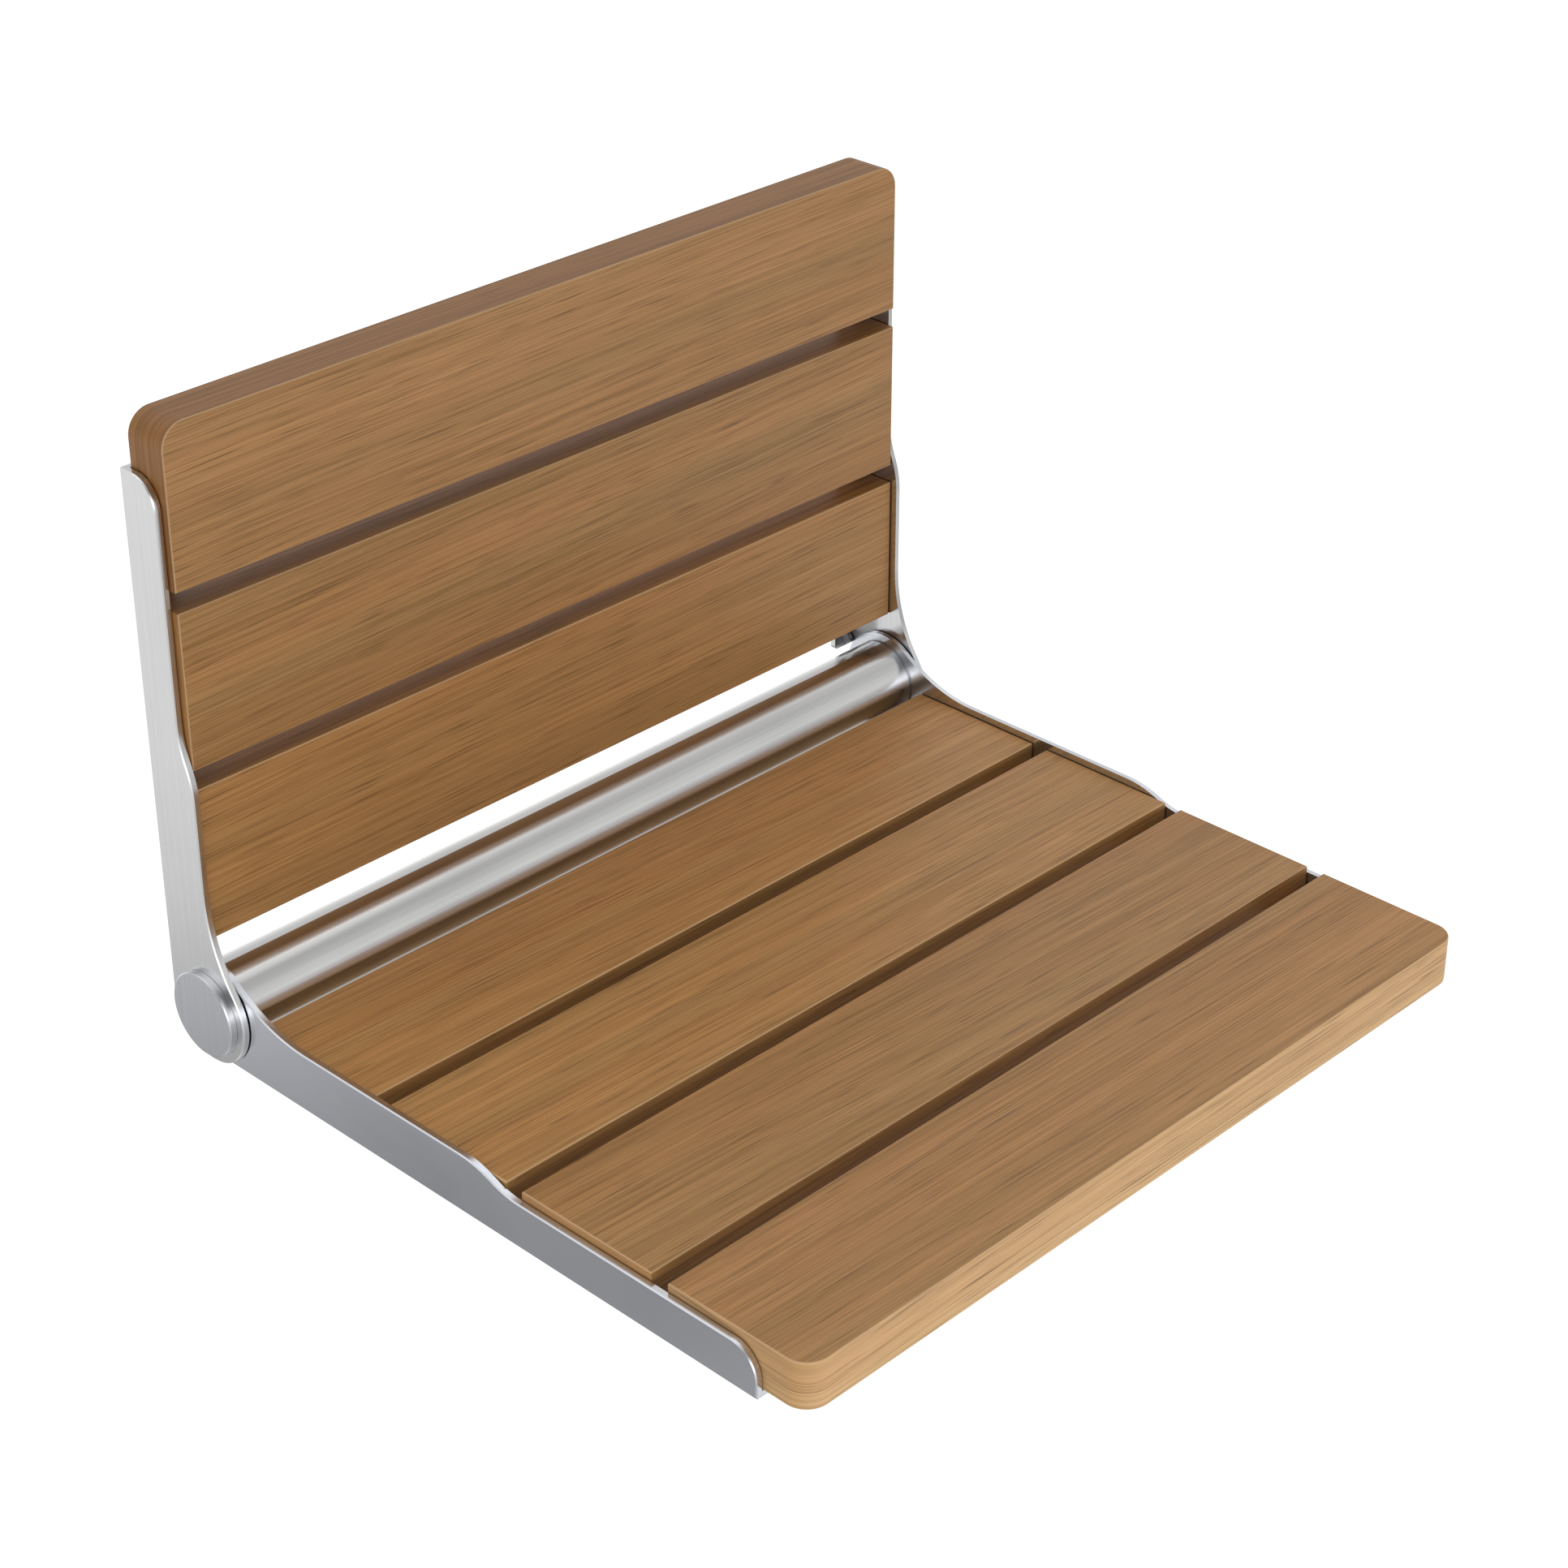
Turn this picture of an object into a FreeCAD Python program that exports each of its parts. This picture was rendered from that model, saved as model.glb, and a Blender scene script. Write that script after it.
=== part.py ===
import FreeCAD, Part
import math
import os

from FreeCAD import Vector

# Fold down wall seat: a slatted seat hinged to a slatted backrest frame on the wall.
# Millimetres. X runs along the hinge axis with 0 at the middle of the seat.
# The wall plane is Y = 0 and the seat reaches out toward -Y. +Z is up.
# Z = 0 is half way between the upper and the lower row of wall fixing holes.

# Slats
seat_slat_length = 455.0
seat_slat_width = 80.3
seat_slat_gap = 10.0
seat_slat_count = 4
back_slat_width = 79.1
back_slat_gap = 10.2
back_slat_count = 3
slat_thickness = 24.5
slat_face_rounding = 0.8
slat_rear_rounding = 0.6
slat_corner_radius = 12.0

# Distances along an arm are measured from the hinge axis
seat_first_slat_start = 29.2
back_first_slat_start = 38.5
# The slat faces stand this far in front of the axis, toward the sitter
face_rise = 1.2
slat_end_gap = 0.7

# L-section arms
plate_thickness = 3.2
flange_thickness = 3.0
flange_width = 17.2
flange_start = 13.7
rim_high = 4.7
rim_low = -2.9
rim_level_start = 65.7
rim_bend_length = 38.0
seat_rim_bend_middle = 192.7
back_rim_bend_middle = 131.7
# The arms end this far short of the edge of the last slat
seat_arm_set_back = 25.0
back_arm_set_back = 26.0
arm_end_radius = 15.0
rim_chamfer = 0.6
flange_end_radius = 2.0
arm_gap = 0.6

# Hinge
pin_radius = 7.0
pin_head_radius = 10.0
pin_head_height = 1.9
pin_end_gap = 1.0
pin_end_chamfer = 0.8
pin_running_clearance = 0.05
bushing_outer_radius = 9.0
bushing_flange_radius = 10.0
bushing_flange_thickness = 0.4
bushing_end_gap = 1.2
tube_outer_radius = 21.6
tube_wall = 2.6
tube_end_chamfer = 1.1
plug_length = 22.0
plug_bore_depth = 16.0

# Fold stop: a pin in the seat arm runs in a curved slot in the back arm
fold_angle = 73.0
# The stop pin fills the room between the bushing flange and the tube wall, less this gap each side
stop_pin_edge_gap = 0.5
stop_clearance = 0.3
stop_rest_direction = 232.0
stop_pin_depth_in_plug = 6.0

# Hub cap
cap_radius = 21.6
cap_height = 3.9
cap_recess_radius = 19.5
cap_recess_depth = 2.5
cap_chamfer = 0.6
cap_base_chamfer = 0.25
cap_spigot_radius = 3.0
cap_spigot_length = 6.3
spigot_bore_relief = 0.3

# Edges and faces are picked out by their place to within this distance
match_distance = 0.001

# Slat screws
screw_head_radius = 4.0
screw_head_height = 1.8
screw_shank_radius = 2.0
screw_length = 20.0
screw_point_length = 3.0
screw_point_tip_radius = 0.3
screw_hole_radius = 2.2
screw_socket_radius = 1.6
screw_socket_depth = 1.0
screw_socket_sides = 6
screw_end_distance = 17.0

# Wall fixing holes in the back arm flanges
wall_hole_radius = 2.75
wall_hole_low_height = 32.2

# Sizes that follow from the ones above
arm_depth = slat_thickness + flange_thickness - face_rise
# The round hub ends flush with the wall side of the flange.
hub_radius = arm_depth
seat_arm_inner_x = seat_slat_length / 2 + slat_end_gap
seat_arm_outer_x = seat_arm_inner_x + plate_thickness
back_arm_inner_x = seat_arm_outer_x + arm_gap
back_arm_outer_x = back_arm_inner_x + plate_thickness
back_slat_length = 2 * (back_arm_inner_x - slat_end_gap)
tube_inner_radius = tube_outer_radius - tube_wall
stop_pin_radius = (tube_inner_radius - bushing_flange_radius) / 2 - stop_pin_edge_gap
stop_circle_radius = (tube_inner_radius + bushing_flange_radius) / 2
pin_length = back_arm_outer_x - seat_arm_inner_x + plug_bore_depth - pin_end_gap
bushing_depth = plate_thickness + plug_bore_depth - bushing_end_gap
back_pitch = back_slat_width + back_slat_gap
seat_pitch = seat_slat_width + seat_slat_gap
seat_slats_end = seat_first_slat_start + seat_slat_count * seat_pitch - seat_slat_gap
back_slats_end = back_first_slat_start + back_slat_count * back_pitch - back_slat_gap
seat_arm_reach = seat_slats_end - seat_arm_set_back
back_arm_reach = back_slats_end - back_arm_set_back
wall_hole_high = back_first_slat_start + 2 * back_pitch - back_slat_gap / 2
wall_hole_middle = back_first_slat_start + back_pitch - back_slat_gap / 2
axis_y = -arm_depth
axis_z = -(wall_hole_low_height + wall_hole_high) / 2
wall_hole_x = back_arm_inner_x - flange_width / 2
seat_screw_x = seat_arm_inner_x - flange_width / 2
back_screw_x = wall_hole_x

# Shapes are drawn in arm coordinates: x, then s along the arm, then p toward the sitter.
# Both have their zero on the hinge axis. The two functions below put them in place.


def put_on_seat(shape):
    shape.rotate(Vector(0, 0, 0), Vector(0, 0, 1), 180)
    shape.translate(Vector(0, axis_y, axis_z))
    return shape


def put_on_back(shape):
    shape.rotate(Vector(0, 0, 0), Vector(1, 0, 0), 90)
    shape.translate(Vector(0, axis_y, axis_z))
    return shape


def cylinder_along_x(radius, x_start, x_end, s=0.0, p=0.0):
    low = min(x_start, x_end)
    return Part.makeCylinder(radius, abs(x_end - x_start), Vector(low, s, p), Vector(1, 0, 0))


def arc_through(start, middle, end):
    return Part.Arc(start, middle, end).toShape()


def point_on_circle(centre, radius, angle):
    return centre + Vector(0, radius * math.cos(angle), radius * math.sin(angle))


# Arm outline, seen along the hinge axis


def arc_about(centre, radius, start_angle, end_angle):
    middle = (start_angle + end_angle) / 2
    return arc_through(
        point_on_circle(centre, radius, start_angle),
        point_on_circle(centre, radius, middle),
        point_on_circle(centre, radius, end_angle),
    )


def arm_outline(reach, bend_middle):
    origin = Vector(0, 0, 0)
    # The sweep out of the hub is one arc that touches the hub circle and the rim level.
    sweep_radius = (rim_level_start**2 + rim_high**2 - hub_radius**2) / (2 * (hub_radius - rim_high))
    sweep_centre = Vector(0, rim_level_start, rim_high + sweep_radius)
    sweep_angle = math.atan2(sweep_centre.z, sweep_centre.y)
    # The bend is two equal arcs that lead from the high rim to the low rim.
    drop = rim_high - rim_low
    bend_radius = (rim_bend_length**2 + drop**2) / (4 * drop)
    bend_turn = 2 * math.atan2(drop, rim_bend_length)
    bend_start = bend_middle - rim_bend_length / 2
    bend_end = bend_middle + rim_bend_length / 2
    upper_centre = Vector(0, bend_start, rim_high - bend_radius)
    lower_centre = Vector(0, bend_end, rim_low + bend_radius)
    end_centre = Vector(0, reach - arm_end_radius, rim_low - arm_end_radius)
    quarter = math.pi / 2
    end_low = Vector(0, reach, -arm_depth)
    end_high = Vector(0, reach, end_centre.z)
    edges = [
        arc_about(origin, hub_radius, sweep_angle, 3 * quarter),
        Part.makeLine(Vector(0, 0, -arm_depth), end_low),
        Part.makeLine(end_low, end_high),
        arc_about(end_centre, arm_end_radius, 0, quarter),
        Part.makeLine(Vector(0, end_centre.y, rim_low), Vector(0, bend_end, rim_low)),
        arc_about(lower_centre, bend_radius, -quarter, -quarter - bend_turn),
        arc_about(upper_centre, bend_radius, quarter - bend_turn, quarter),
        Part.makeLine(Vector(0, bend_start, rim_high), Vector(0, rim_level_start, rim_high)),
        arc_about(sweep_centre, sweep_radius, -quarter, sweep_angle - math.pi),
    ]
    return Part.Wire(Part.__sortEdges__(edges))


def arm_blank(reach, bend_middle, inner_x, side):
    plate = Part.Face(arm_outline(reach, bend_middle)).extrude(Vector(plate_thickness, 0, 0))
    plate.translate(Vector(inner_x, 0, 0))
    outer_x = inner_x + plate_thickness
    rim_edges = []
    for edge in plate.Edges:
        on_outer_face = abs(edge.BoundBox.XMin - outer_x) < match_distance
        on_flange_side = edge.BoundBox.ZMax < -arm_depth + match_distance
        if on_outer_face and not on_flange_side:
            rim_edges.append(edge)
    plate = plate.makeChamfer(rim_chamfer, rim_edges)
    flange = Part.makeBox(
        flange_width + plate_thickness / 2,
        reach - flange_start,
        flange_thickness,
        Vector(inner_x - flange_width, flange_start, -arm_depth),
    )
    free_corners = []
    for edge in flange.Edges:
        upright = edge.BoundBox.ZLength > flange_thickness - match_distance
        if upright and edge.BoundBox.XMax < inner_x:
            free_corners.append(edge)
    flange = flange.makeFillet(flange_end_radius, free_corners)
    arm = plate.fuse(flange).removeSplitter()
    if side < 0:
        arm = arm.mirror(Vector(0, 0, 0), Vector(1, 0, 0))
    return arm


# Two screws hold each slat end, on the stretch of flange that the slat lies on


def screw_pair(slat_start, slat_width, reach):
    covered_end = min(slat_start + slat_width, reach)
    return slat_start + screw_end_distance, covered_end - screw_end_distance


def seat_slat_start(index):
    return seat_first_slat_start + index * seat_pitch


def back_slat_start(index):
    return back_first_slat_start + index * back_pitch


seat_screw_places = []
for slat_number in range(seat_slat_count):
    seat_screw_places += screw_pair(seat_slat_start(slat_number), seat_slat_width, seat_arm_reach)
back_screw_places = []
for slat_number in range(back_slat_count):
    back_screw_places += screw_pair(back_slat_start(slat_number), back_slat_width, back_arm_reach)


def screw_hole(x, s):
    cone = Part.makeCone(
        screw_head_radius, screw_hole_radius, screw_head_height, Vector(x, s, -arm_depth)
    )
    hole = Part.makeCylinder(screw_hole_radius, flange_thickness, Vector(x, s, -arm_depth))
    return cone.fuse(hole)


def slat_screw(x, s):
    base = Vector(x, s, -arm_depth)
    shank_length = screw_length - screw_head_height - screw_point_length
    head = Part.makeCone(screw_head_radius, screw_hole_radius, screw_head_height, base)
    shank = Part.makeCylinder(
        screw_shank_radius, shank_length, base + Vector(0, 0, screw_head_height)
    )
    point = Part.makeCone(
        screw_shank_radius,
        screw_point_tip_radius,
        screw_point_length,
        base + Vector(0, 0, screw_length - screw_point_length),
    )
    corners = []
    for index in range(screw_socket_sides + 1):
        angle = index * 2 * math.pi / screw_socket_sides
        across = screw_socket_radius * math.cos(angle)
        along = screw_socket_radius * math.sin(angle)
        corners.append(base + Vector(across, along, 0))
    socket = Part.Face(Part.makePolygon(corners)).extrude(Vector(0, 0, screw_socket_depth))
    return head.fuse([shank, point]).removeSplitter().cut(socket)


def pilot_hole(x, s):
    base = Vector(x, s, -arm_depth)
    length = screw_length - screw_point_length
    hole = Part.makeCylinder(screw_shank_radius, length, base)
    tip_base = base + Vector(0, 0, length)
    tip = Part.makeCone(screw_shank_radius, screw_point_tip_radius, screw_point_length, tip_base)
    return hole.fuse(tip).removeSplitter()


# Slats


def slat(length, width, start, reach, screw_x, rounded_end):
    half = length / 2
    body = Part.makeBox(
        length, width, slat_thickness, Vector(-half, start, face_rise - slat_thickness)
    )
    if rounded_end:
        corners = []
        for edge in body.Edges:
            upright = edge.BoundBox.ZLength > slat_thickness - match_distance
            if upright and edge.BoundBox.YMin > start + width / 2:
                corners.append(edge)
        body = body.makeFillet(slat_corner_radius, corners)
    face_edges = [edge for edge in body.Edges if edge.BoundBox.ZMin > face_rise - match_distance]
    body = body.makeFillet(slat_face_rounding, face_edges)
    rear_edges = []
    for edge in body.Edges:
        if edge.BoundBox.ZMax < face_rise - slat_thickness + match_distance:
            rear_edges.append(edge)
    body = body.makeFillet(slat_rear_rounding, rear_edges)
    holes = []
    for x in (-screw_x, screw_x):
        for s in screw_pair(start, width, reach):
            holes.append(pilot_hole(x, s))
    return body.cut(holes)


def seat_slat(index):
    is_front = index == seat_slat_count - 1
    body = slat(
        seat_slat_length, seat_slat_width, seat_slat_start(index), seat_arm_reach, seat_screw_x, is_front
    )
    return put_on_seat(body)


def back_slat(index):
    is_top = index == back_slat_count - 1
    body = slat(
        back_slat_length, back_slat_width, back_slat_start(index), back_arm_reach, back_screw_x, is_top
    )
    return put_on_back(body)


def screw_group(screw_x, places):
    screws = []
    for x in (-screw_x, screw_x):
        for s in places:
            screws.append(slat_screw(x, s))
    return Part.makeCompound(screws)


# Seat side of the hinge


def stop_pin_centre(turn):
    # Direction 0 points to the seat front and 90 points up, about the hinge axis.
    angle = math.radians(stop_rest_direction + turn)
    return math.cos(angle) * stop_circle_radius, math.sin(angle) * stop_circle_radius


def seat_arm(side):
    arm = arm_blank(seat_arm_reach, seat_rim_bend_middle, seat_arm_inner_x, side)
    pin_s, pin_p = stop_pin_centre(0)
    cuts = [
        cylinder_along_x(
            bushing_outer_radius, side * seat_arm_inner_x, side * seat_arm_outer_x
        ),
        cylinder_along_x(
            stop_pin_radius, side * seat_arm_inner_x, side * seat_arm_outer_x, pin_s, pin_p
        ),
    ]
    for s in seat_screw_places:
        cuts.append(screw_hole(side * seat_screw_x, s))
    return put_on_seat(arm.cut(cuts))


def cross_tube():
    half = seat_arm_inner_x
    outside = cylinder_along_x(tube_outer_radius, -half, half)
    outside = outside.makeChamfer(
        tube_end_chamfer, [edge for edge in outside.Edges if edge.BoundBox.XLength < match_distance]
    )
    inside = cylinder_along_x(tube_inner_radius, -half, half)
    return put_on_seat(outside.cut(inside))


def tube_plug(side):
    outer_end = side * seat_arm_inner_x
    body = cylinder_along_x(tube_inner_radius, outer_end, outer_end - side * plug_length)
    bore = cylinder_along_x(bushing_outer_radius, outer_end, outer_end - side * plug_bore_depth)
    pin_s, pin_p = stop_pin_centre(0)
    pocket = cylinder_along_x(
        stop_pin_radius, outer_end, outer_end - side * stop_pin_depth_in_plug, pin_s, pin_p
    )
    return put_on_seat(body.cut([bore, pocket]))


def hinge_bushing(side):
    face = side * seat_arm_outer_x
    sleeve = cylinder_along_x(bushing_outer_radius, face, face - side * bushing_depth)
    flange = cylinder_along_x(
        bushing_flange_radius, face, face + side * bushing_flange_thickness
    )
    hole = cylinder_along_x(
        pin_radius + pin_running_clearance,
        face + side * bushing_flange_thickness,
        face - side * bushing_depth,
    )
    return put_on_seat(sleeve.fuse(flange).removeSplitter().cut(hole))


def stop_pin(side):
    pin_s, pin_p = stop_pin_centre(0)
    start = side * (seat_arm_inner_x - stop_pin_depth_in_plug)
    end = side * (back_arm_outer_x - stop_clearance)
    body = cylinder_along_x(stop_pin_radius, start, end, pin_s, pin_p)
    return put_on_seat(body)


# Wall side of the hinge


def stop_slot(side):
    start = math.radians(stop_rest_direction)
    end = math.radians(stop_rest_direction + fold_angle)
    middle = (start + end) / 2
    half_width = stop_pin_radius + stop_clearance

    def at(radius, angle):
        # Directions are the same as for the stop pin, turned into back arm coordinates.
        return Vector(0, radius * math.sin(angle), radius * math.cos(angle))

    inner = stop_circle_radius - half_width
    outer = stop_circle_radius + half_width
    outline = [
        arc_through(at(inner, start), at(inner, middle), at(inner, end)),
        arc_through(at(outer, start), at(outer, middle), at(outer, end)),
        arc_through(
            at(inner, end),
            at(stop_circle_radius, end) + at(half_width, end + math.pi / 2),
            at(outer, end),
        ),
        arc_through(
            at(inner, start),
            at(stop_circle_radius, start) + at(half_width, start - math.pi / 2),
            at(outer, start),
        ),
    ]
    slot = Part.Face(Part.Wire(Part.__sortEdges__(outline))).extrude(Vector(plate_thickness, 0, 0))
    low = min(side * back_arm_inner_x, side * back_arm_outer_x)
    slot.translate(Vector(low, 0, 0))
    return slot


def back_arm(side):
    arm = arm_blank(back_arm_reach, back_rim_bend_middle, back_arm_inner_x, side)
    cuts = [
        cylinder_along_x(pin_radius, side * back_arm_inner_x, side * back_arm_outer_x),
        stop_slot(side),
    ]
    for s in back_screw_places:
        cuts.append(screw_hole(side * back_screw_x, s))
    for s in (wall_hole_low_height, wall_hole_middle, wall_hole_high):
        hole_base = Vector(side * wall_hole_x, s, -arm_depth)
        cuts.append(Part.makeCylinder(wall_hole_radius, flange_thickness, hole_base))
    return put_on_back(arm.cut(cuts))


def pivot_pin(side):
    face = side * back_arm_outer_x
    shank = cylinder_along_x(pin_radius, face, face - side * pin_length)
    inner_end = back_arm_outer_x - pin_length
    end_edges = [edge for edge in shank.Edges if abs(abs(edge.BoundBox.XMin) - inner_end) < match_distance]
    end_edges = [edge for edge in end_edges if edge.BoundBox.XLength < match_distance]
    shank = shank.makeChamfer(pin_end_chamfer, end_edges)
    head = cylinder_along_x(pin_head_radius, face, face + side * pin_head_height)
    top = face + side * pin_head_height
    bore_end = face + side * (cap_recess_depth - cap_spigot_length - spigot_bore_relief)
    bore = cylinder_along_x(cap_spigot_radius, top, bore_end)
    return put_on_back(shank.fuse(head).removeSplitter().cut(bore))


def hub_cap(side):
    face = side * back_arm_outer_x
    body = cylinder_along_x(cap_radius, face, face + side * cap_height)
    for level, chamfer in ((cap_height, cap_chamfer), (0, cap_base_chamfer)):
        rim_x = back_arm_outer_x + level
        rim = []
        for edge in body.Edges:
            flat = edge.BoundBox.XLength < match_distance
            if flat and abs(abs(edge.BoundBox.XMin) - rim_x) < match_distance:
                rim.append(edge)
        body = body.makeChamfer(chamfer, rim)
    floor = face + side * cap_recess_depth
    recess = cylinder_along_x(cap_recess_radius, face, floor)
    spigot = cylinder_along_x(cap_spigot_radius, floor, floor - side * cap_spigot_length)
    return put_on_back(body.cut(recess).fuse(spigot).removeSplitter())


def build_all():
    parts = {
        "cross_tube": cross_tube(),
        "seat_slat_screws": put_on_seat(screw_group(seat_screw_x, seat_screw_places)),
        "back_slat_screws": put_on_back(screw_group(back_screw_x, back_screw_places)),
    }
    for index in range(seat_slat_count):
        parts["seat_slat_" + str(index + 1)] = seat_slat(index)
    for index, name in enumerate(("bottom", "middle", "top")):
        parts["back_slat_" + name] = back_slat(index)
    # Seat shapes are turned half round when they are put in place, so their side is swapped.
    for name, side in (("left", -1), ("right", 1)):
        parts["back_arm_" + name] = back_arm(side)
        parts["pivot_pin_" + name] = pivot_pin(side)
        parts["hub_cap_" + name] = hub_cap(side)
        parts["seat_arm_" + name] = seat_arm(-side)
        parts["tube_plug_" + name] = tube_plug(-side)
        parts["hinge_bushing_" + name] = hinge_bushing(-side)
        parts["stop_pin_" + name] = stop_pin(-side)
    return parts


os.makedirs("parts", exist_ok=True)
for part_name, part_shape in build_all().items():
    if not part_shape.isValid():
        raise ValueError("the shape is not valid: " + part_name)
    part_shape.exportStep("parts/" + part_name + ".step")
    print(part_name, len(part_shape.Solids), "solids", round(part_shape.Volume, 1), "mm3")
print("hinge axis at y", round(axis_y, 3), "z", round(axis_z, 3))
print("wall holes at x", wall_hole_x, "rows", wall_hole_low_height, wall_hole_middle, wall_hole_high)
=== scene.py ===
import math

import bpy
from mathutils import Matrix, Vector

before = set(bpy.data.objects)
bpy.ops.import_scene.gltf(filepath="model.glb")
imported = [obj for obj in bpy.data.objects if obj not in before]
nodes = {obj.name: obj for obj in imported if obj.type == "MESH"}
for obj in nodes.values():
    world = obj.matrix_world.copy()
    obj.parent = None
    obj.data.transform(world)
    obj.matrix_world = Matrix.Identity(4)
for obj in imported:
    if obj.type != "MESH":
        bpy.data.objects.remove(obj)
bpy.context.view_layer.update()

scene = bpy.context.scene
print("frame loaded with", len(nodes), "nodes")


# Small helpers for shader trees

def addNode(tree, kind, place, settings=None, values=None):
    # one shader node at a place in the editor, with its properties and unlinked socket values
    node = tree.nodes.new(kind)
    node.location = place
    for name, value in (settings or {}).items():
        setattr(node, name, value)
    for name, value in (values or {}).items():
        node.inputs[name].default_value = value
    return node


def addSocket(group, name, direction, kind, value=None):
    socket = group.interface.new_socket(name=name, in_out=direction, socket_type=kind)
    if value is not None:
        socket.default_value = value


def newMaterial(name):
    # an empty node material with its output, its Principled shader and its pattern coordinates
    material = bpy.data.materials.new(name)
    material.use_nodes = True
    tree = material.node_tree
    tree.nodes.clear()
    output = addNode(tree, "ShaderNodeOutputMaterial", (900, 0))
    shader = addNode(tree, "ShaderNodeBsdfPrincipled", (560, 0))
    coordinates = addNode(tree, "ShaderNodeTexCoord", (-900, 0))
    mapping = addNode(tree, "ShaderNodeMapping", (-700, 0))
    tree.links.new(coordinates.outputs["Object"], mapping.inputs["Vector"])
    tree.links.new(shader.outputs["BSDF"], output.inputs["Surface"])
    return material, tree, shader, mapping


def addBump(tree, shader, height, strength, distance):
    bump = addNode(tree, "ShaderNodeBump", (300, -320), values={"Strength": strength, "Distance": distance})
    tree.links.new(height, bump.inputs["Height"])
    tree.links.new(bump.outputs["Normal"], shader.inputs["Normal"])


def setFinish(nodeName, material):
    # the CAD node keeps its mesh and only its material changes
    target = nodes[nodeName]
    if not target.material_slots:
        target.data.materials.append(material)
    for slot in target.material_slots:
        slot.material = material


def stretchedNoise(tree, vector, place, stretch, detail, roughness):
    # noise drawn out along the axis whose stretch number is smallest
    scaled = addNode(tree, "ShaderNodeVectorMath", place, {"operation": "MULTIPLY"})
    scaled.inputs[1].default_value = stretch
    noise = addNode(
        tree,
        "ShaderNodeTexNoise",
        (place[0] + 180, place[1]),
        values={"Scale": 1.0, "Detail": detail, "Roughness": roughness},
    )
    tree.links.new(vector, scaled.inputs[0])
    tree.links.new(scaled.outputs["Vector"], noise.inputs["Vector"])
    return noise.outputs["Fac"]


def remap(tree, value, place, low, high, outLow, outHigh):
    # the value's stretch from low to high becomes outLow to outHigh, and what lies outside is held
    node = addNode(
        tree,
        "ShaderNodeMapRange",
        place,
        values={"From Min": low, "From Max": high, "To Min": outLow, "To Max": outHigh},
    )
    tree.links.new(value, node.inputs["Value"])
    return node.outputs["Result"]


def mixColour(tree, factor, first, second, place):
    # first and second are sockets of the same tree
    node = addNode(tree, "ShaderNodeMix", place, {"data_type": "RGBA"})
    tree.links.new(factor, node.inputs[0])
    tree.links.new(first, node.inputs[6])
    tree.links.new(second, node.inputs[7])
    return node.outputs[2]


# Wood: long straight grain, with broad bands, thin lines, hair lines and a few dark pores

grain = {
    # each noise: its waves in a metre along the board and across it, its detail and roughness
    "band": ((0.55, 44.0, 44.0), 1.0, 0.5),
    "line": ((2.4, 420.0, 420.0), 2.0, 0.6),
    "hair": ((6.0, 1300.0, 1300.0), 1.0, 0.6),
    "pore": ((30.0, 1700.0, 1700.0), 0.0, 0.5),
    "drift": ((2.2, 6.0, 6.0), 1.0, 0.5),
    "tint": ((0.6, 42.0, 42.0), 1.0, 0.5),
    # how much bands, lines and hair lines add to the tone, and the span of noise that they use
    "bandShare": 0.21,
    "lineShare": 0.29,
    "hairShare": 0.50,
    "toneSpan": (0.28, 0.72),
    "tintSpan": (0.35, 0.65),
    "coolTint": (0.975, 1.012, 1.02, 1),
    "warmTint": (1.03, 0.985, 0.96, 1),
    "poreSpan": (0.62, 0.78),
    "poreStrength": 0.60,
    "driftReach": 0.004,  # metres by which the lines wander sideways
    # how squarely a spot faces out with the broad face, from 0 on an edge to 1 on the face:
    # where the face's own pattern takes over, and how strongly the painted highlight on the arris between
    # them is laid on
    "faceSpan": (0.6, 0.8),
    "arrisHighlightSteps": ((0.05, 0.0), (0.30, 0.65), (0.85, 0.65), (0.98, 0.0)),
    "darkRoughness": 0.52,
    "lightRoughness": 0.40,
}


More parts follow.
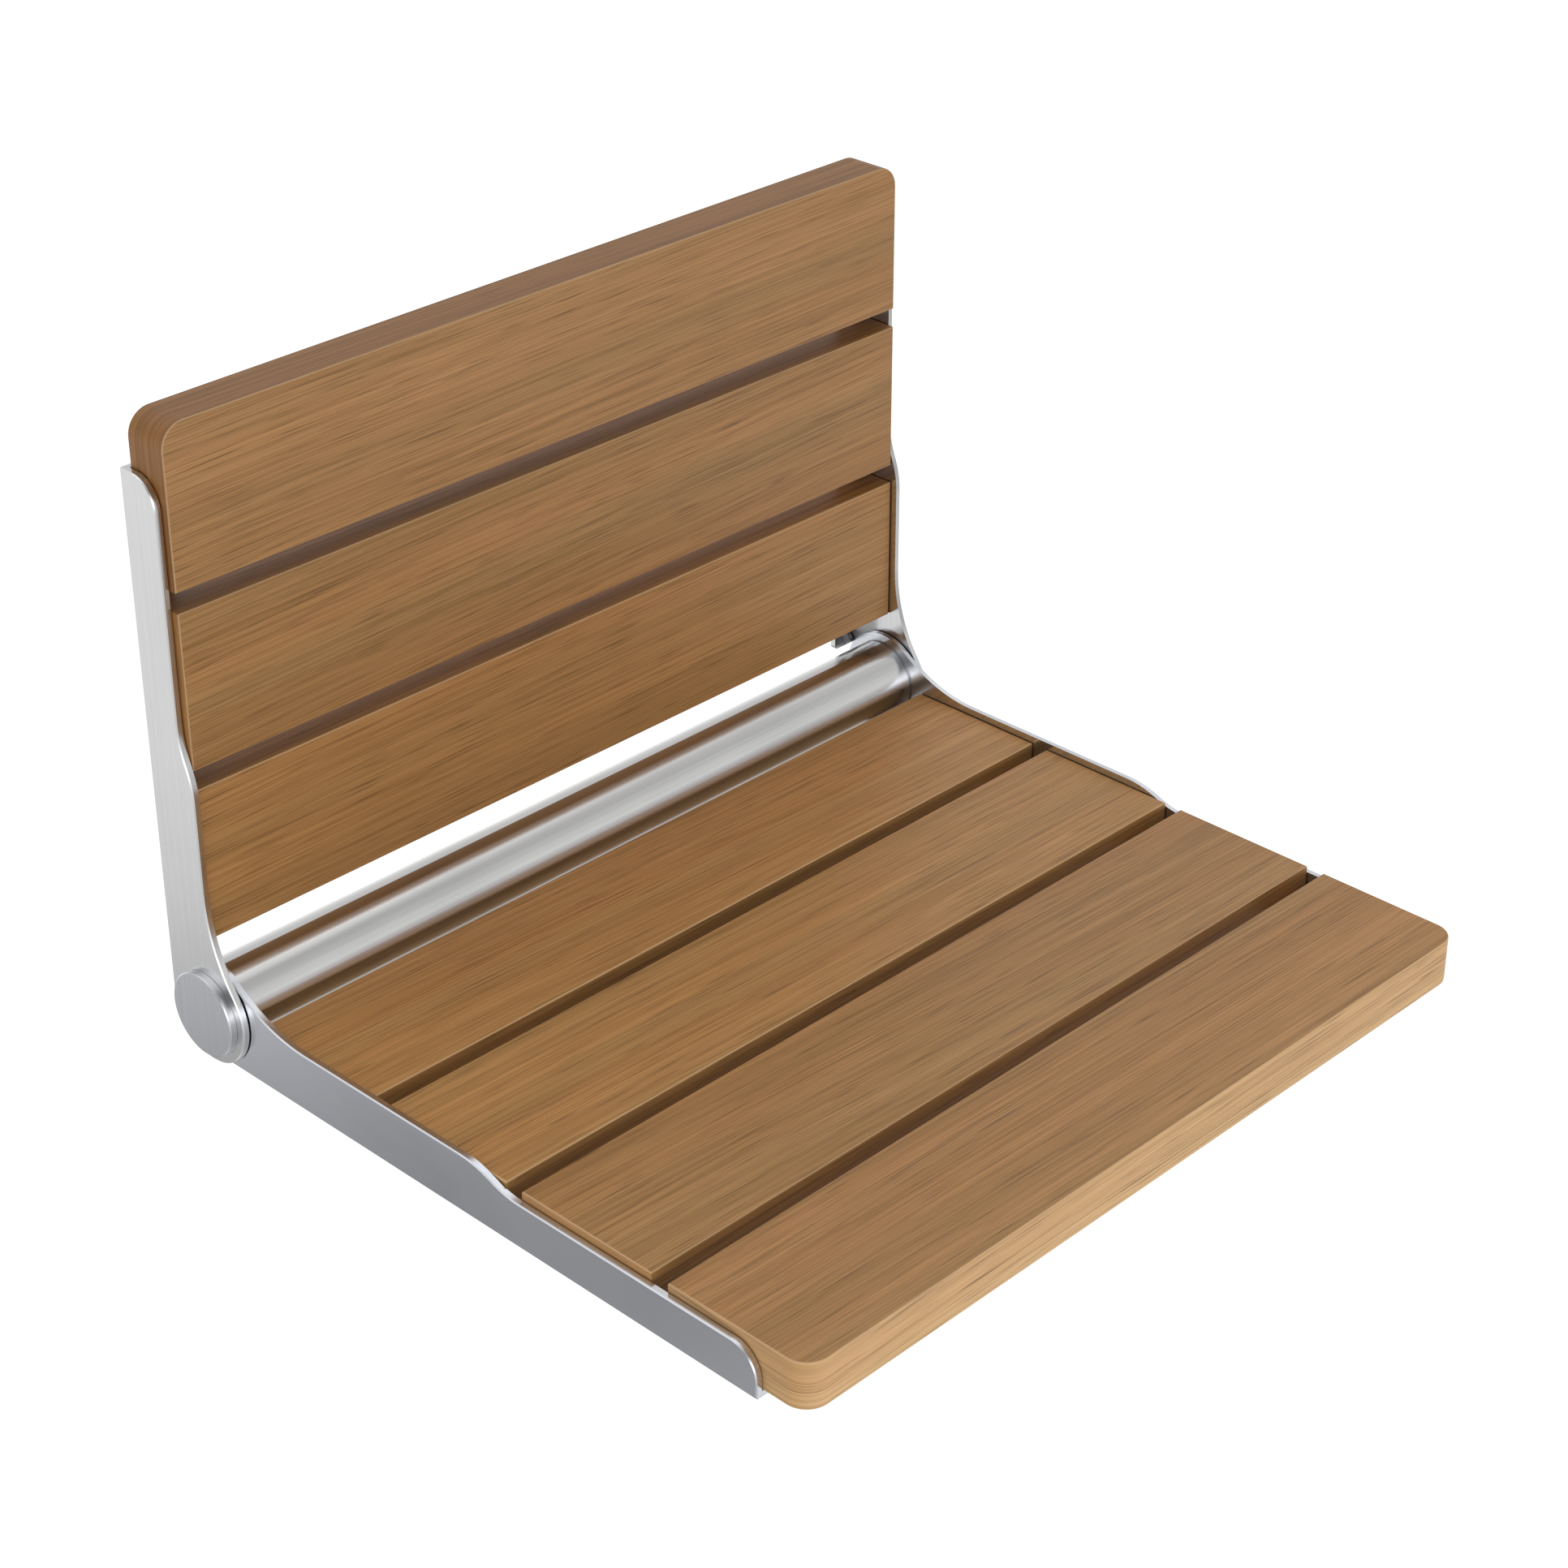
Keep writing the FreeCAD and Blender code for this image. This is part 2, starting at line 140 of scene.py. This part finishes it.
def makeWoodGroup():
    # On the broad face the pattern follows the board. On the edges and ends it is read from
    # (x + y, 0, z), so its lines wrap round the board and over its rounded corners. A slow noise turns
    # the tone from cool to warm, and a lighter colour is painted along the arris as a highlight.
    group = bpy.data.node_groups.new("woodGrain", "ShaderNodeTree")
    addSocket(group, "Vector", "INPUT", "NodeSocketVector")
    addSocket(group, "Facing", "INPUT", "NodeSocketVector")
    addSocket(group, "Light", "INPUT", "NodeSocketColor", (0.4, 0.22, 0.1, 1))
    addSocket(group, "Dark", "INPUT", "NodeSocketColor", (0.2, 0.1, 0.04, 1))
    addSocket(group, "Pore", "INPUT", "NodeSocketColor", (0.1, 0.05, 0.02, 1))
    addSocket(group, "Highlight", "INPUT", "NodeSocketColor", (0.5, 0.32, 0.18, 1))
    addSocket(group, "Edge Tint", "INPUT", "NodeSocketColor", (1, 1, 1, 1))
    addSocket(group, "Colour", "OUTPUT", "NodeSocketColor")
    addSocket(group, "Roughness", "OUTPUT", "NodeSocketFloat")
    addSocket(group, "Height", "OUTPUT", "NodeSocketFloat")
    source = addNode(group, "NodeGroupInput", (-2200, 0))
    result = addNode(group, "NodeGroupOutput", (1400, 0))
    links = group.links
    position = addNode(group, "ShaderNodeSeparateXYZ", (-2000, 200))
    facing = addNode(group, "ShaderNodeSeparateXYZ", (-2000, -100))
    links.new(source.outputs["Vector"], position.inputs["Vector"])
    links.new(source.outputs["Facing"], facing.inputs["Vector"])
    along = addNode(group, "ShaderNodeMath", (-1820, 260), {"operation": "ADD"})
    links.new(position.outputs["X"], along.inputs[0])
    links.new(position.outputs["Y"], along.inputs[1])
    wrapped = addNode(group, "ShaderNodeCombineXYZ", (-1640, 200))
    links.new(along.outputs[0], wrapped.inputs["X"])
    links.new(position.outputs["Z"], wrapped.inputs["Z"])
    squareness = addNode(group, "ShaderNodeMath", (-1820, -100), {"operation": "ABSOLUTE"})
    links.new(facing.outputs["Z"], squareness.inputs[0])
    onFace = remap(group, squareness.outputs[0], (-1640, -100), *grain["faceSpan"], 0.0, 1.0)
    board = addNode(group, "ShaderNodeMix", (-1440, 100), {"data_type": "VECTOR"})
    links.new(onFace, board.inputs[0])
    links.new(wrapped.outputs["Vector"], board.inputs[4])
    links.new(source.outputs["Vector"], board.inputs[5])
    drift = stretchedNoise(group, board.outputs[1], (-1260, 300), *grain["drift"])
    reach = grain["driftReach"]
    centred = remap(group, drift, (-900, 300), 0.0, 1.0, -reach, reach)
    sideways = addNode(group, "ShaderNodeCombineXYZ", (-720, 300))
    links.new(centred, sideways.inputs["Y"])
    links.new(centred, sideways.inputs["Z"])
    warped = addNode(group, "ShaderNodeVectorMath", (-540, 300), {"operation": "ADD"})
    links.new(board.outputs[1], warped.inputs[0])
    links.new(sideways.outputs["Vector"], warped.inputs[1])
    place = warped.outputs["Vector"]
    shares = []
    for name, row in (("band", 420), ("line", 200), ("hair", -20)):
        noise = stretchedNoise(group, place, (-340, row), *grain[name])
        shares.append(remap(group, noise, (60, row), *grain["toneSpan"], 0.0, grain[name + "Share"]))
    pore = stretchedNoise(group, place, (-340, -240), *grain["pore"])
    firstSum = addNode(group, "ShaderNodeMath", (260, 300), {"operation": "ADD"})
    secondSum = addNode(group, "ShaderNodeMath", (420, 200), {"operation": "ADD", "use_clamp": True})
    links.new(shares[0], firstSum.inputs[0])
    links.new(shares[1], firstSum.inputs[1])
    links.new(firstSum.outputs[0], secondSum.inputs[0])
    links.new(shares[2], secondSum.inputs[1])
    tone = secondSum.outputs[0]
    poreMask = remap(group, pore, (60, -240), *grain["poreSpan"], 0.0, grain["poreStrength"])
    ground = mixColour(group, tone, source.outputs["Dark"], source.outputs["Light"], (580, 300))
    hue = stretchedNoise(group, place, (-340, 900), *grain["tint"])
    warmth = remap(group, hue, (60, 900), *grain["tintSpan"], 0.0, 1.0)
    faceTint = addNode(group, "ShaderNodeMix", (260, 900), {"data_type": "RGBA"})
    faceTint.inputs[6].default_value = grain["coolTint"]
    faceTint.inputs[7].default_value = grain["warmTint"]
    # the edges take the given tint, which carries painted light
    edgeTintAndLight = addNode(group, "ShaderNodeMix", (260, 700), {"data_type": "RGBA"})
    edgeTintAndLight.inputs[7].default_value = (1, 1, 1, 1)
    links.new(warmth, faceTint.inputs[0])
    links.new(onFace, edgeTintAndLight.inputs[0])
    links.new(source.outputs["Edge Tint"], edgeTintAndLight.inputs[6])
    tinted = ground
    for tint, column in ((faceTint, 700), (edgeTintAndLight, 860)):
        product = addNode(
            group, "ShaderNodeMix", (column, 500), {"data_type": "RGBA", "blend_type": "MULTIPLY"}
        )
        product.inputs[0].default_value = 1.0
        links.new(tinted, product.inputs[6])
        links.new(tint.outputs[2], product.inputs[7])
        tinted = product.outputs[2]
    porous = mixColour(group, poreMask, tinted, source.outputs["Pore"], (1020, 200))
    # painted highlight: a lighter colour laid along the arris where face and edge meet
    arrisHighlight = addNode(group, "ShaderNodeValToRGB", (700, -500))
    stops = arrisHighlight.color_ramp.elements
    stops.new(0.5)
    stops.new(0.5)
    for stop, (level, strength) in zip(stops, grain["arrisHighlightSteps"]):
        stop.position = level
        stop.color = (strength, strength, strength, 1)
    links.new(squareness.outputs[0], arrisHighlight.inputs["Fac"])
    finished = mixColour(group, arrisHighlight.outputs["Color"], porous, source.outputs["Highlight"], (1200, 200))
    links.new(finished, result.inputs["Colour"])
    roughness = remap(
        group, tone, (580, -60), 0.0, 1.0, grain["darkRoughness"], grain["lightRoughness"]
    )
    links.new(roughness, result.inputs["Roughness"])
    depth = addNode(group, "ShaderNodeMath", (580, -300), {"operation": "SUBTRACT"})
    links.new(tone, depth.inputs[0])
    links.new(poreMask, depth.inputs[1])
    links.new(depth.outputs[0], result.inputs["Height"])
    return group


wood = {
    "light": (0.368, 0.192, 0.070, 1),
    "dark": (0.154, 0.076, 0.020, 1),
    "pore": (0.075, 0.035, 0.010, 1),
    # the colour of the painted highlight along each board's arris
    "highlight": (0.420, 0.270, 0.140, 1),
    # tints of the sawn edges by where the board lies, with painted light in them: the front board's edge is
    # painted lighter, the top board's edges darker, the back boards' edges a little darker and warmer, and
    # the edges in the seat gaps nearly untouched
    "slotEdge": (1.00, 1.03, 1.00, 1),
    "frontEdgeLit": (1.27, 1.50, 1.95, 1),
    "backEdge": (1.08, 0.94, 0.66, 1),
    "topEdgeShaded": (0.77, 0.63, 0.38, 1),
    "bump": 0.14,
    "bumpDistance": 0.0002,
    "specular": 0.36,
    "coat": 0.03,
    "coatRoughness": 0.30,
}

# every board is cut from another place in the timber and its grain runs a touch askew:
# its shift, its lean in degrees, its brightness, whether it stands in the back, and the tint of
# its sawn edges. The brightness is painted light: the seat boards are lighter than the back boards
# and lightest at the rear, and the back boards are lightest at the bottom
boards = {
    "seat_slat_1": ((0.00, 0.31, 0.10), 1.6, 1.56, False, "slotEdge"),
    "seat_slat_2": ((0.63, 0.92, 0.25), 1.1, 1.48, False, "slotEdge"),
    "seat_slat_3": ((1.27, 1.48, 0.41), 2.2, 1.26, False, "slotEdge"),
    "seat_slat_4": ((2.11, 2.03, 0.57), 1.3, 1.27, False, "frontEdgeLit"),
    "back_slat_bottom": ((3.02, 2.57, 0.73), 1.2, 1.23, True, "backEdge"),
    "back_slat_middle": ((3.77, 3.18, 0.89), 2.0, 1.04, True, "backEdge"),
    "back_slat_top": ((4.41, 3.74, 1.05), 1.6, 1.03, True, "topEdgeShaded"),
}


def makeWood(name, board, group):
    shift, lean, brightness, standing, edge = board
    material, tree, shader, mapping = newMaterial(name)
    turn = (math.radians(90) if standing else 0, 0, math.radians(lean))
    mapping.inputs["Location"].default_value = shift
    mapping.inputs["Rotation"].default_value = turn
    coordinates = addNode(tree, "ShaderNodeTexCoord", (-900, -300))
    facing = addNode(tree, "ShaderNodeMapping", (-700, -300), {"vector_type": "VECTOR"})
    facing.inputs["Rotation"].default_value = turn
    body = addNode(tree, "ShaderNodeGroup", (-300, 100), {"node_tree": group})
    # every colour is scaled by the board's brightness, a painted light level
    for socket in ("Light", "Dark", "Pore", "Highlight"):
        shade = wood[socket.lower()]
        body.inputs[socket].default_value = [part * brightness for part in shade[:3]] + [1]
    # the edge tint by where the board lies carries painted light
    body.inputs["Edge Tint"].default_value = wood[edge]
    tree.links.new(mapping.outputs["Vector"], body.inputs["Vector"])
    tree.links.new(coordinates.outputs["Normal"], facing.inputs["Vector"])
    tree.links.new(facing.outputs["Vector"], body.inputs["Facing"])
    tree.links.new(body.outputs["Colour"], shader.inputs["Base Color"])
    tree.links.new(body.outputs["Roughness"], shader.inputs["Roughness"])
    addBump(tree, shader, body.outputs["Height"], wood["bump"], wood["bumpDistance"])
    shader.inputs["Specular IOR Level"].default_value = wood["specular"]
    shader.inputs["Coat Weight"].default_value = wood["coat"]
    shader.inputs["Coat Roughness"].default_value = wood["coatRoughness"]
    return material


woodGroup = makeWoodGroup()
for boardName, board in boards.items():
    setFinish(boardName, makeWood("wood_" + boardName, board, woodGroup))
print("wood set on", len(boards), "boards")


# Metal: satin brushed finish, its lines drawn along one axis of each piece

brushing = {
    "lineDetail": 3.0,
    "lineRoughness": 0.7,
    "lineSpan": (0.25, 0.75),
    "cloudScale": 14.0,
    "cloudDetail": 2.0,
    "cloudSpan": (0.3, 0.7),
    "cloudShare": 0.35,
    "bumpDistance": 0.0001,
}


def makeBrushedGroup():
    # fine lines along the axis with the small stretch, over a faint cloud of handling marks
    group = bpy.data.node_groups.new("brushedMetal", "ShaderNodeTree")
    addSocket(group, "Vector", "INPUT", "NodeSocketVector")
    addSocket(group, "Stretch", "INPUT", "NodeSocketVector")
    addSocket(group, "Bright", "INPUT", "NodeSocketColor", (0.7, 0.7, 0.7, 1))
    addSocket(group, "Dull", "INPUT", "NodeSocketColor", (0.6, 0.6, 0.6, 1))
    addSocket(group, "Smooth", "INPUT", "NodeSocketFloat", 0.22)
    addSocket(group, "Rough", "INPUT", "NodeSocketFloat", 0.34)
    addSocket(group, "Colour", "OUTPUT", "NodeSocketColor")
    addSocket(group, "Roughness", "OUTPUT", "NodeSocketFloat")
    addSocket(group, "Height", "OUTPUT", "NodeSocketFloat")
    source = addNode(group, "NodeGroupInput", (-900, 0))
    result = addNode(group, "NodeGroupOutput", (700, 0))
    links = group.links
    scaled = addNode(group, "ShaderNodeVectorMath", (-680, 200), {"operation": "MULTIPLY"})
    links.new(source.outputs["Vector"], scaled.inputs[0])
    links.new(source.outputs["Stretch"], scaled.inputs[1])
    lines = addNode(
        group,
        "ShaderNodeTexNoise",
        (-480, 200),
        values={
            "Scale": 1.0, "Detail": brushing["lineDetail"], "Roughness": brushing["lineRoughness"]
        },
    )
    links.new(scaled.outputs["Vector"], lines.inputs["Vector"])
    cloud = addNode(
        group,
        "ShaderNodeTexNoise",
        (-480, -100),
        values={"Scale": brushing["cloudScale"], "Detail": brushing["cloudDetail"]},
    )
    links.new(source.outputs["Vector"], cloud.inputs["Vector"])
    lineTone = remap(group, lines.outputs["Fac"], (-260, 200), *brushing["lineSpan"], 0.0, 1.0)
    cloudTone = remap(group, cloud.outputs["Fac"], (-260, -100), *brushing["cloudSpan"], 0.0, 1.0)
    blended = addNode(group, "ShaderNodeMix", (-60, 100), values={"Factor": brushing["cloudShare"]})
    links.new(lineTone, blended.inputs[2])
    links.new(cloudTone, blended.inputs[3])
    tone = blended.outputs[0]
    links.new(
        mixColour(group, tone, source.outputs["Dull"], source.outputs["Bright"], (300, 200)),
        result.inputs["Colour"],
    )
    spread = addNode(group, "ShaderNodeMapRange", (300, -60))
    links.new(tone, spread.inputs["Value"])
    links.new(source.outputs["Rough"], spread.inputs["To Min"])
    links.new(source.outputs["Smooth"], spread.inputs["To Max"])
    links.new(spread.outputs["Result"], result.inputs["Roughness"])
    links.new(lineTone, result.inputs["Height"])
    return group


# waves in a metre along X, Y and Z, so the lines run along the axis with the small number
alongX = (4.0, 1400.0, 1400.0)
alongY = (1400.0, 4.0, 1400.0)
alongZ = (1400.0, 1400.0, 4.0)

metals = {
    "seatArmMetal": {
        "lines": alongY, "bright": (0.71, 0.73, 0.775), "dull": (0.62, 0.64, 0.685),
        "smooth": 0.15, "rough": 0.25, "bump": 0.04,
        "nodes": ("seat_arm_left", "seat_arm_right"),
    },
    "backArmMetal": {
        "lines": alongZ, "bright": (0.72, 0.72, 0.725), "dull": (0.64, 0.64, 0.645),
        "smooth": 0.15, "rough": 0.25, "bump": 0.04,
        "nodes": ("back_arm_left", "back_arm_right"),
    },
    "tubeMetal": {
        "lines": alongX, "bright": (0.74, 0.735, 0.73), "dull": (0.60, 0.595, 0.59),
        "smooth": 0.14, "rough": 0.25, "bump": 0.08,
        "nodes": ("cross_tube",),
    },
    "capMetal": {
        "lines": alongZ, "bright": (0.66, 0.67, 0.70), "dull": (0.53, 0.54, 0.56),
        "smooth": 0.18, "rough": 0.28, "bump": 0.05,
        "nodes": ("hub_cap_left", "hub_cap_right"),
    },
    "plugMetal": {
        "lines": alongZ, "bright": (0.55, 0.55, 0.55), "dull": (0.45, 0.45, 0.45),
        "smooth": 0.30, "rough": 0.42, "bump": 0.05,
        "nodes": ("tube_plug_left", "tube_plug_right"),
    },
    "pinMetal": {
        "lines": alongX, "bright": (0.62, 0.62, 0.62), "dull": (0.50, 0.50, 0.50),
        "smooth": 0.18, "rough": 0.28, "bump": 0.03,
        "nodes": ("pivot_pin_left", "pivot_pin_right", "stop_pin_left", "stop_pin_right"),
    },
    "screwMetal": {
        "lines": alongZ, "bright": (0.58, 0.58, 0.57), "dull": (0.44, 0.44, 0.43),
        "smooth": 0.22, "rough": 0.36, "bump": 0.04,
        "nodes": ("seat_slat_screws", "back_slat_screws"),
    },
}


def makeMetal(name, look, group):
    material, tree, shader, mapping = newMaterial(name)
    body = addNode(tree, "ShaderNodeGroup", (-300, 100), {"node_tree": group})
    body.inputs["Stretch"].default_value = look["lines"]
    body.inputs["Bright"].default_value = (*look["bright"], 1)
    body.inputs["Dull"].default_value = (*look["dull"], 1)
    body.inputs["Smooth"].default_value = look["smooth"]
    body.inputs["Rough"].default_value = look["rough"]
    tree.links.new(mapping.outputs["Vector"], body.inputs["Vector"])
    tree.links.new(body.outputs["Colour"], shader.inputs["Base Color"])
    tree.links.new(body.outputs["Roughness"], shader.inputs["Roughness"])
    shader.inputs["Metallic"].default_value = 1.0
    addBump(tree, shader, body.outputs["Height"], look["bump"], brushing["bumpDistance"])
    return material


brushedGroup = makeBrushedGroup()
for metalName, look in metals.items():
    finish = makeMetal(metalName, look, brushedGroup)
    for nodeName in look["nodes"]:
        setFinish(nodeName, finish)
print("metal set on the arms, tube, caps, pins and screws")


# Bushings: an off-white bearing plastic with a faint matt texture

bushing = {
    "light": (0.72, 0.70, 0.65, 1),
    "dark": (0.60, 0.58, 0.53, 1),
    "scale": 900.0,
    "detail": 3.0,
    "speckleSpan": (0.3, 0.7),
    "roughness": (0.45, 0.60),
    "bump": 0.15,
    "bumpDistance": 0.0001,
}


def makeBushingPlastic():
    material, tree, shader, mapping = newMaterial("bushingPlastic")
    speckle = addNode(
        tree,
        "ShaderNodeTexNoise",
        (-460, 0),
        values={"Scale": bushing["scale"], "Detail": bushing["detail"]},
    )
    tree.links.new(mapping.outputs["Vector"], speckle.inputs["Vector"])
    ramp = addNode(tree, "ShaderNodeValToRGB", (-200, 100))
    ramp.color_ramp.elements[0].color = bushing["dark"]
    ramp.color_ramp.elements[1].color = bushing["light"]
    tree.links.new(speckle.outputs["Fac"], ramp.inputs["Fac"])
    tree.links.new(ramp.outputs["Color"], shader.inputs["Base Color"])
    roughness = remap(
        tree, speckle.outputs["Fac"], (-200, -120), *bushing["speckleSpan"], *bushing["roughness"]
    )
    tree.links.new(roughness, shader.inputs["Roughness"])
    addBump(tree, shader, speckle.outputs["Fac"], bushing["bump"], bushing["bumpDistance"])
    return material


bushingPlastic = makeBushingPlastic()
for side in ("left", "right"):
    setFinish("hinge_bushing_" + side, bushingPlastic)
print("plastic set on the bushings")


# Floor and light

studio = {
    "floorHeight": -0.60,
    "floorSize": 40.0,
    "floorSeen": 1.1,
    # how strongly the floor lights the seat by its place along Y in metres: the wall is at 0,
    # and under the seat the floor gives no light
    "floorLight": (
        (-2.0, 2.2), (-0.80, 2.2), (-0.62, 0.3), (-0.40, 0.0), (0.05, 0.0), (0.10, 0.91), (2.0, 0.91),
    ),
}

# The soft boxes around the seat: brightness by the direction's height, from -1 below to 1 above,
# on the far side of the camera's view, on its near side and to its right and left.
surround = {
    "heights": (-1.00, -0.75, -0.58, -0.52, -0.40, -0.25, 0.05, 0.20, 0.40, 0.80, 1.00),
    "far": (0.33, 0.25, 0.25, 0.95, 1.20, 1.35, 0.95, 0.85, 0.70, 1.25, 1.75),
    "near": (0.60, 0.62, 0.66, 0.72, 0.85, 1.00, 2.60, 1.70, 0.25, 0.25, 1.70),
    "right": (0.62, 0.70, 1.15, 0.95, 0.62, 0.60, 0.50, 0.85, 0.82, 0.50, 1.70),
    "left": (0.85, 0.76, 0.14, 0.96, 0.98, 1.10, 0.95, 0.61, 0.83, 1.50, 1.75),
    "turn": -45.0,
}


def calculate(tree, operation, first, second, place):
    # one arithmetic node whose inputs are sockets or plain numbers
    node = addNode(tree, "ShaderNodeMath", place, {"operation": operation})
    for index, value in enumerate((first, second)):
        if isinstance(value, (int, float)):
            node.inputs[index].default_value = value
        else:
            tree.links.new(value, node.inputs[index])
    return node.outputs[0]


def addRamp(tree, value, steps, place):
    # steps are pairs of place from 0 to 1 and brightness, and their largest brightness is taken out
    ramp = addNode(tree, "ShaderNodeValToRGB", place)
    elements = ramp.color_ramp.elements
    while len(elements) < len(steps):
        elements.new(1.0)
    largest = max(brightness for position, brightness in steps)
    for element, (position, brightness) in zip(elements, steps):
        shade = brightness / largest
        element.position = position
        element.color = (shade, shade, shade, 1)
    tree.links.new(value, ramp.inputs["Fac"])
    return calculate(tree, "MULTIPLY", ramp.outputs["Color"], largest, (place[0] + 300, place[1]))


def makeFloor():
    # one flat square: the camera sees it from above as plain pale ground, its light reaches
    # the seat by floorLight, and it isn't seen from below or mirrored in the metal
    half = studio["floorSize"] / 2
    level = studio["floorHeight"]
    corners = [(-half, -half, level), (half, -half, level), (half, half, level), (-half, half, level)]
    mesh = bpy.data.meshes.new("floor")
    mesh.from_pydata(corners, [], [(0, 1, 2, 3)])
    floor = bpy.data.objects.new("floor", mesh)
    scene.collection.objects.link(floor)
    material = bpy.data.materials.new("paleFloor")
    material.use_nodes = True
    tree = material.node_tree
    tree.nodes.clear()
    output = addNode(tree, "ShaderNodeOutputMaterial", (1100, 0))
    glow = addNode(tree, "ShaderNodeEmission", (700, 0), values={"Color": (1, 1, 1, 1)})
    unseen = addNode(tree, "ShaderNodeBsdfTransparent", (700, -150))
    sides = addNode(tree, "ShaderNodeMixShader", (900, 0))
    underside = addNode(tree, "ShaderNodeNewGeometry", (700, 200))
    rays = addNode(tree, "ShaderNodeLightPath", (-100, 300))
    coordinates = addNode(tree, "ShaderNodeTexCoord", (-700, 0))
    split = addNode(tree, "ShaderNodeSeparateXYZ", (-500, 0))
    tree.links.new(coordinates.outputs["Object"], split.inputs["Vector"])
    reach = studio["floorLight"][-1][0]
    steps = [((distance / reach + 1) / 2, light) for distance, light in studio["floorLight"]]
    position = remap(tree, split.outputs["Y"], (-300, 0), -reach, reach, 0.0, 1.0)
    light = addRamp(tree, position, steps, (-100, 0))
    chosen = addNode(tree, "ShaderNodeMix", (500, 0), values={"B": studio["floorSeen"]})
    tree.links.new(rays.outputs["Is Camera Ray"], chosen.inputs[0])
    tree.links.new(light, chosen.inputs[2])
    tree.links.new(chosen.outputs[0], glow.inputs["Strength"])
    tree.links.new(underside.outputs["Backfacing"], sides.inputs["Fac"])
    tree.links.new(glow.outputs["Emission"], sides.inputs[1])
    tree.links.new(unseen.outputs["BSDF"], sides.inputs[2])
    tree.links.new(sides.outputs["Shader"], output.inputs["Surface"])
    mesh.materials.append(material)
    floor.visible_glossy = False


def makeSurround():
    # each side's brightness is weighed by the square of how far the direction leans to that side
    world = bpy.data.worlds.new("softStudio")
    world.use_nodes = True
    tree = world.node_tree
    tree.nodes.clear()
    output = addNode(tree, "ShaderNodeOutputWorld", (1500, 0))
    background = addNode(tree, "ShaderNodeBackground", (1300, 0), values={"Color": (1, 1, 1, 1)})
    coordinates = addNode(tree, "ShaderNodeTexCoord", (-1100, 0))
    turned = addNode(tree, "ShaderNodeMapping", (-900, 0))
    turned.inputs["Rotation"].default_value = (0, 0, math.radians(surround["turn"]))
    split = addNode(tree, "ShaderNodeSeparateXYZ", (-700, 0))
    level = addNode(tree, "ShaderNodeVectorMath", (-700, -200), {"operation": "MULTIPLY"})
    level.inputs[1].default_value = (1, 1, 0)  # drops the height, which leaves the heading
    heading = addNode(tree, "ShaderNodeVectorMath", (-500, -200), {"operation": "NORMALIZE"})
    lean = addNode(tree, "ShaderNodeSeparateXYZ", (-300, -200))
    tree.links.new(coordinates.outputs["Generated"], turned.inputs["Vector"])
    tree.links.new(turned.outputs["Vector"], split.inputs["Vector"])
    tree.links.new(turned.outputs["Vector"], level.inputs[0])
    tree.links.new(level.outputs["Vector"], heading.inputs[0])
    tree.links.new(heading.outputs["Vector"], lean.inputs["Vector"])
    height = remap(tree, split.outputs["Z"], (-500, 200), -1.0, 1.0, 0.0, 1.0)
    positions = [(value + 1) / 2 for value in surround["heights"]]
    sides = (
        ("far", "X", "MAXIMUM"),
        ("near", "X", "MINIMUM"),
        ("left", "Y", "MAXIMUM"),
        ("right", "Y", "MINIMUM"),
    )
    total = 0.0
    for row, (side, axis, pick) in enumerate(sides):
        place = 600 - row * 300
        toward = calculate(tree, pick, lean.outputs[axis], 0.0, (-100, place))
        weight = calculate(tree, "MULTIPLY", toward, toward, (100, place))
        shade = addRamp(tree, height, list(zip(positions, surround[side])), (100, place + 150))
        lit = calculate(tree, "MULTIPLY", weight, shade, (700, place))
        total = calculate(tree, "ADD", lit, total, (900 + row * 100, place))
    rays = addNode(tree, "ShaderNodeLightPath", (900, 400))
    chosen = addNode(tree, "ShaderNodeMix", (1150, 200), values={"B": studio["floorSeen"]})
    tree.links.new(rays.outputs["Is Camera Ray"], chosen.inputs[0])
    tree.links.new(total, chosen.inputs[2])
    tree.links.new(chosen.outputs[0], background.inputs["Strength"])
    tree.links.new(background.outputs["Background"], output.inputs["Surface"])
    scene.world = world


makeFloor()
makeSurround()
print("floor and light made")


# Camera: fitted to the edges of the slats, the arms and the hub in the photograph

view = {
    "place": (-0.99084, -1.13531, 0.75585),
    "azimuth": 45.82,
    "elevation": 29.39,
    "lens": 77.49,
    "sensor": 36.0,
    "shiftY": -0.01803,
    "clipStart": 0.05,
    "clipEnd": 100.0,
}


def makeCamera():
    data = bpy.data.cameras.new("camera")
    data.sensor_width = view["sensor"]
    data.lens = view["lens"]
    data.shift_y = view["shiftY"]
    data.clip_start = view["clipStart"]
    data.clip_end = view["clipEnd"]
    camera = bpy.data.objects.new("camera", data)
    azimuth = math.radians(view["azimuth"])
    elevation = math.radians(view["elevation"])
    forward = Vector((
        math.sin(azimuth) * math.cos(elevation),
        math.cos(azimuth) * math.cos(elevation),
        -math.sin(elevation),
    ))
    turn = forward.to_track_quat("-Z", "Y").to_matrix().to_4x4()
    camera.matrix_world = Matrix.Translation(Vector(view["place"])) @ turn
    scene.collection.objects.link(camera)
    scene.camera = camera


makeCamera()
scene.view_settings.view_transform = "Standard"
print("camera made")
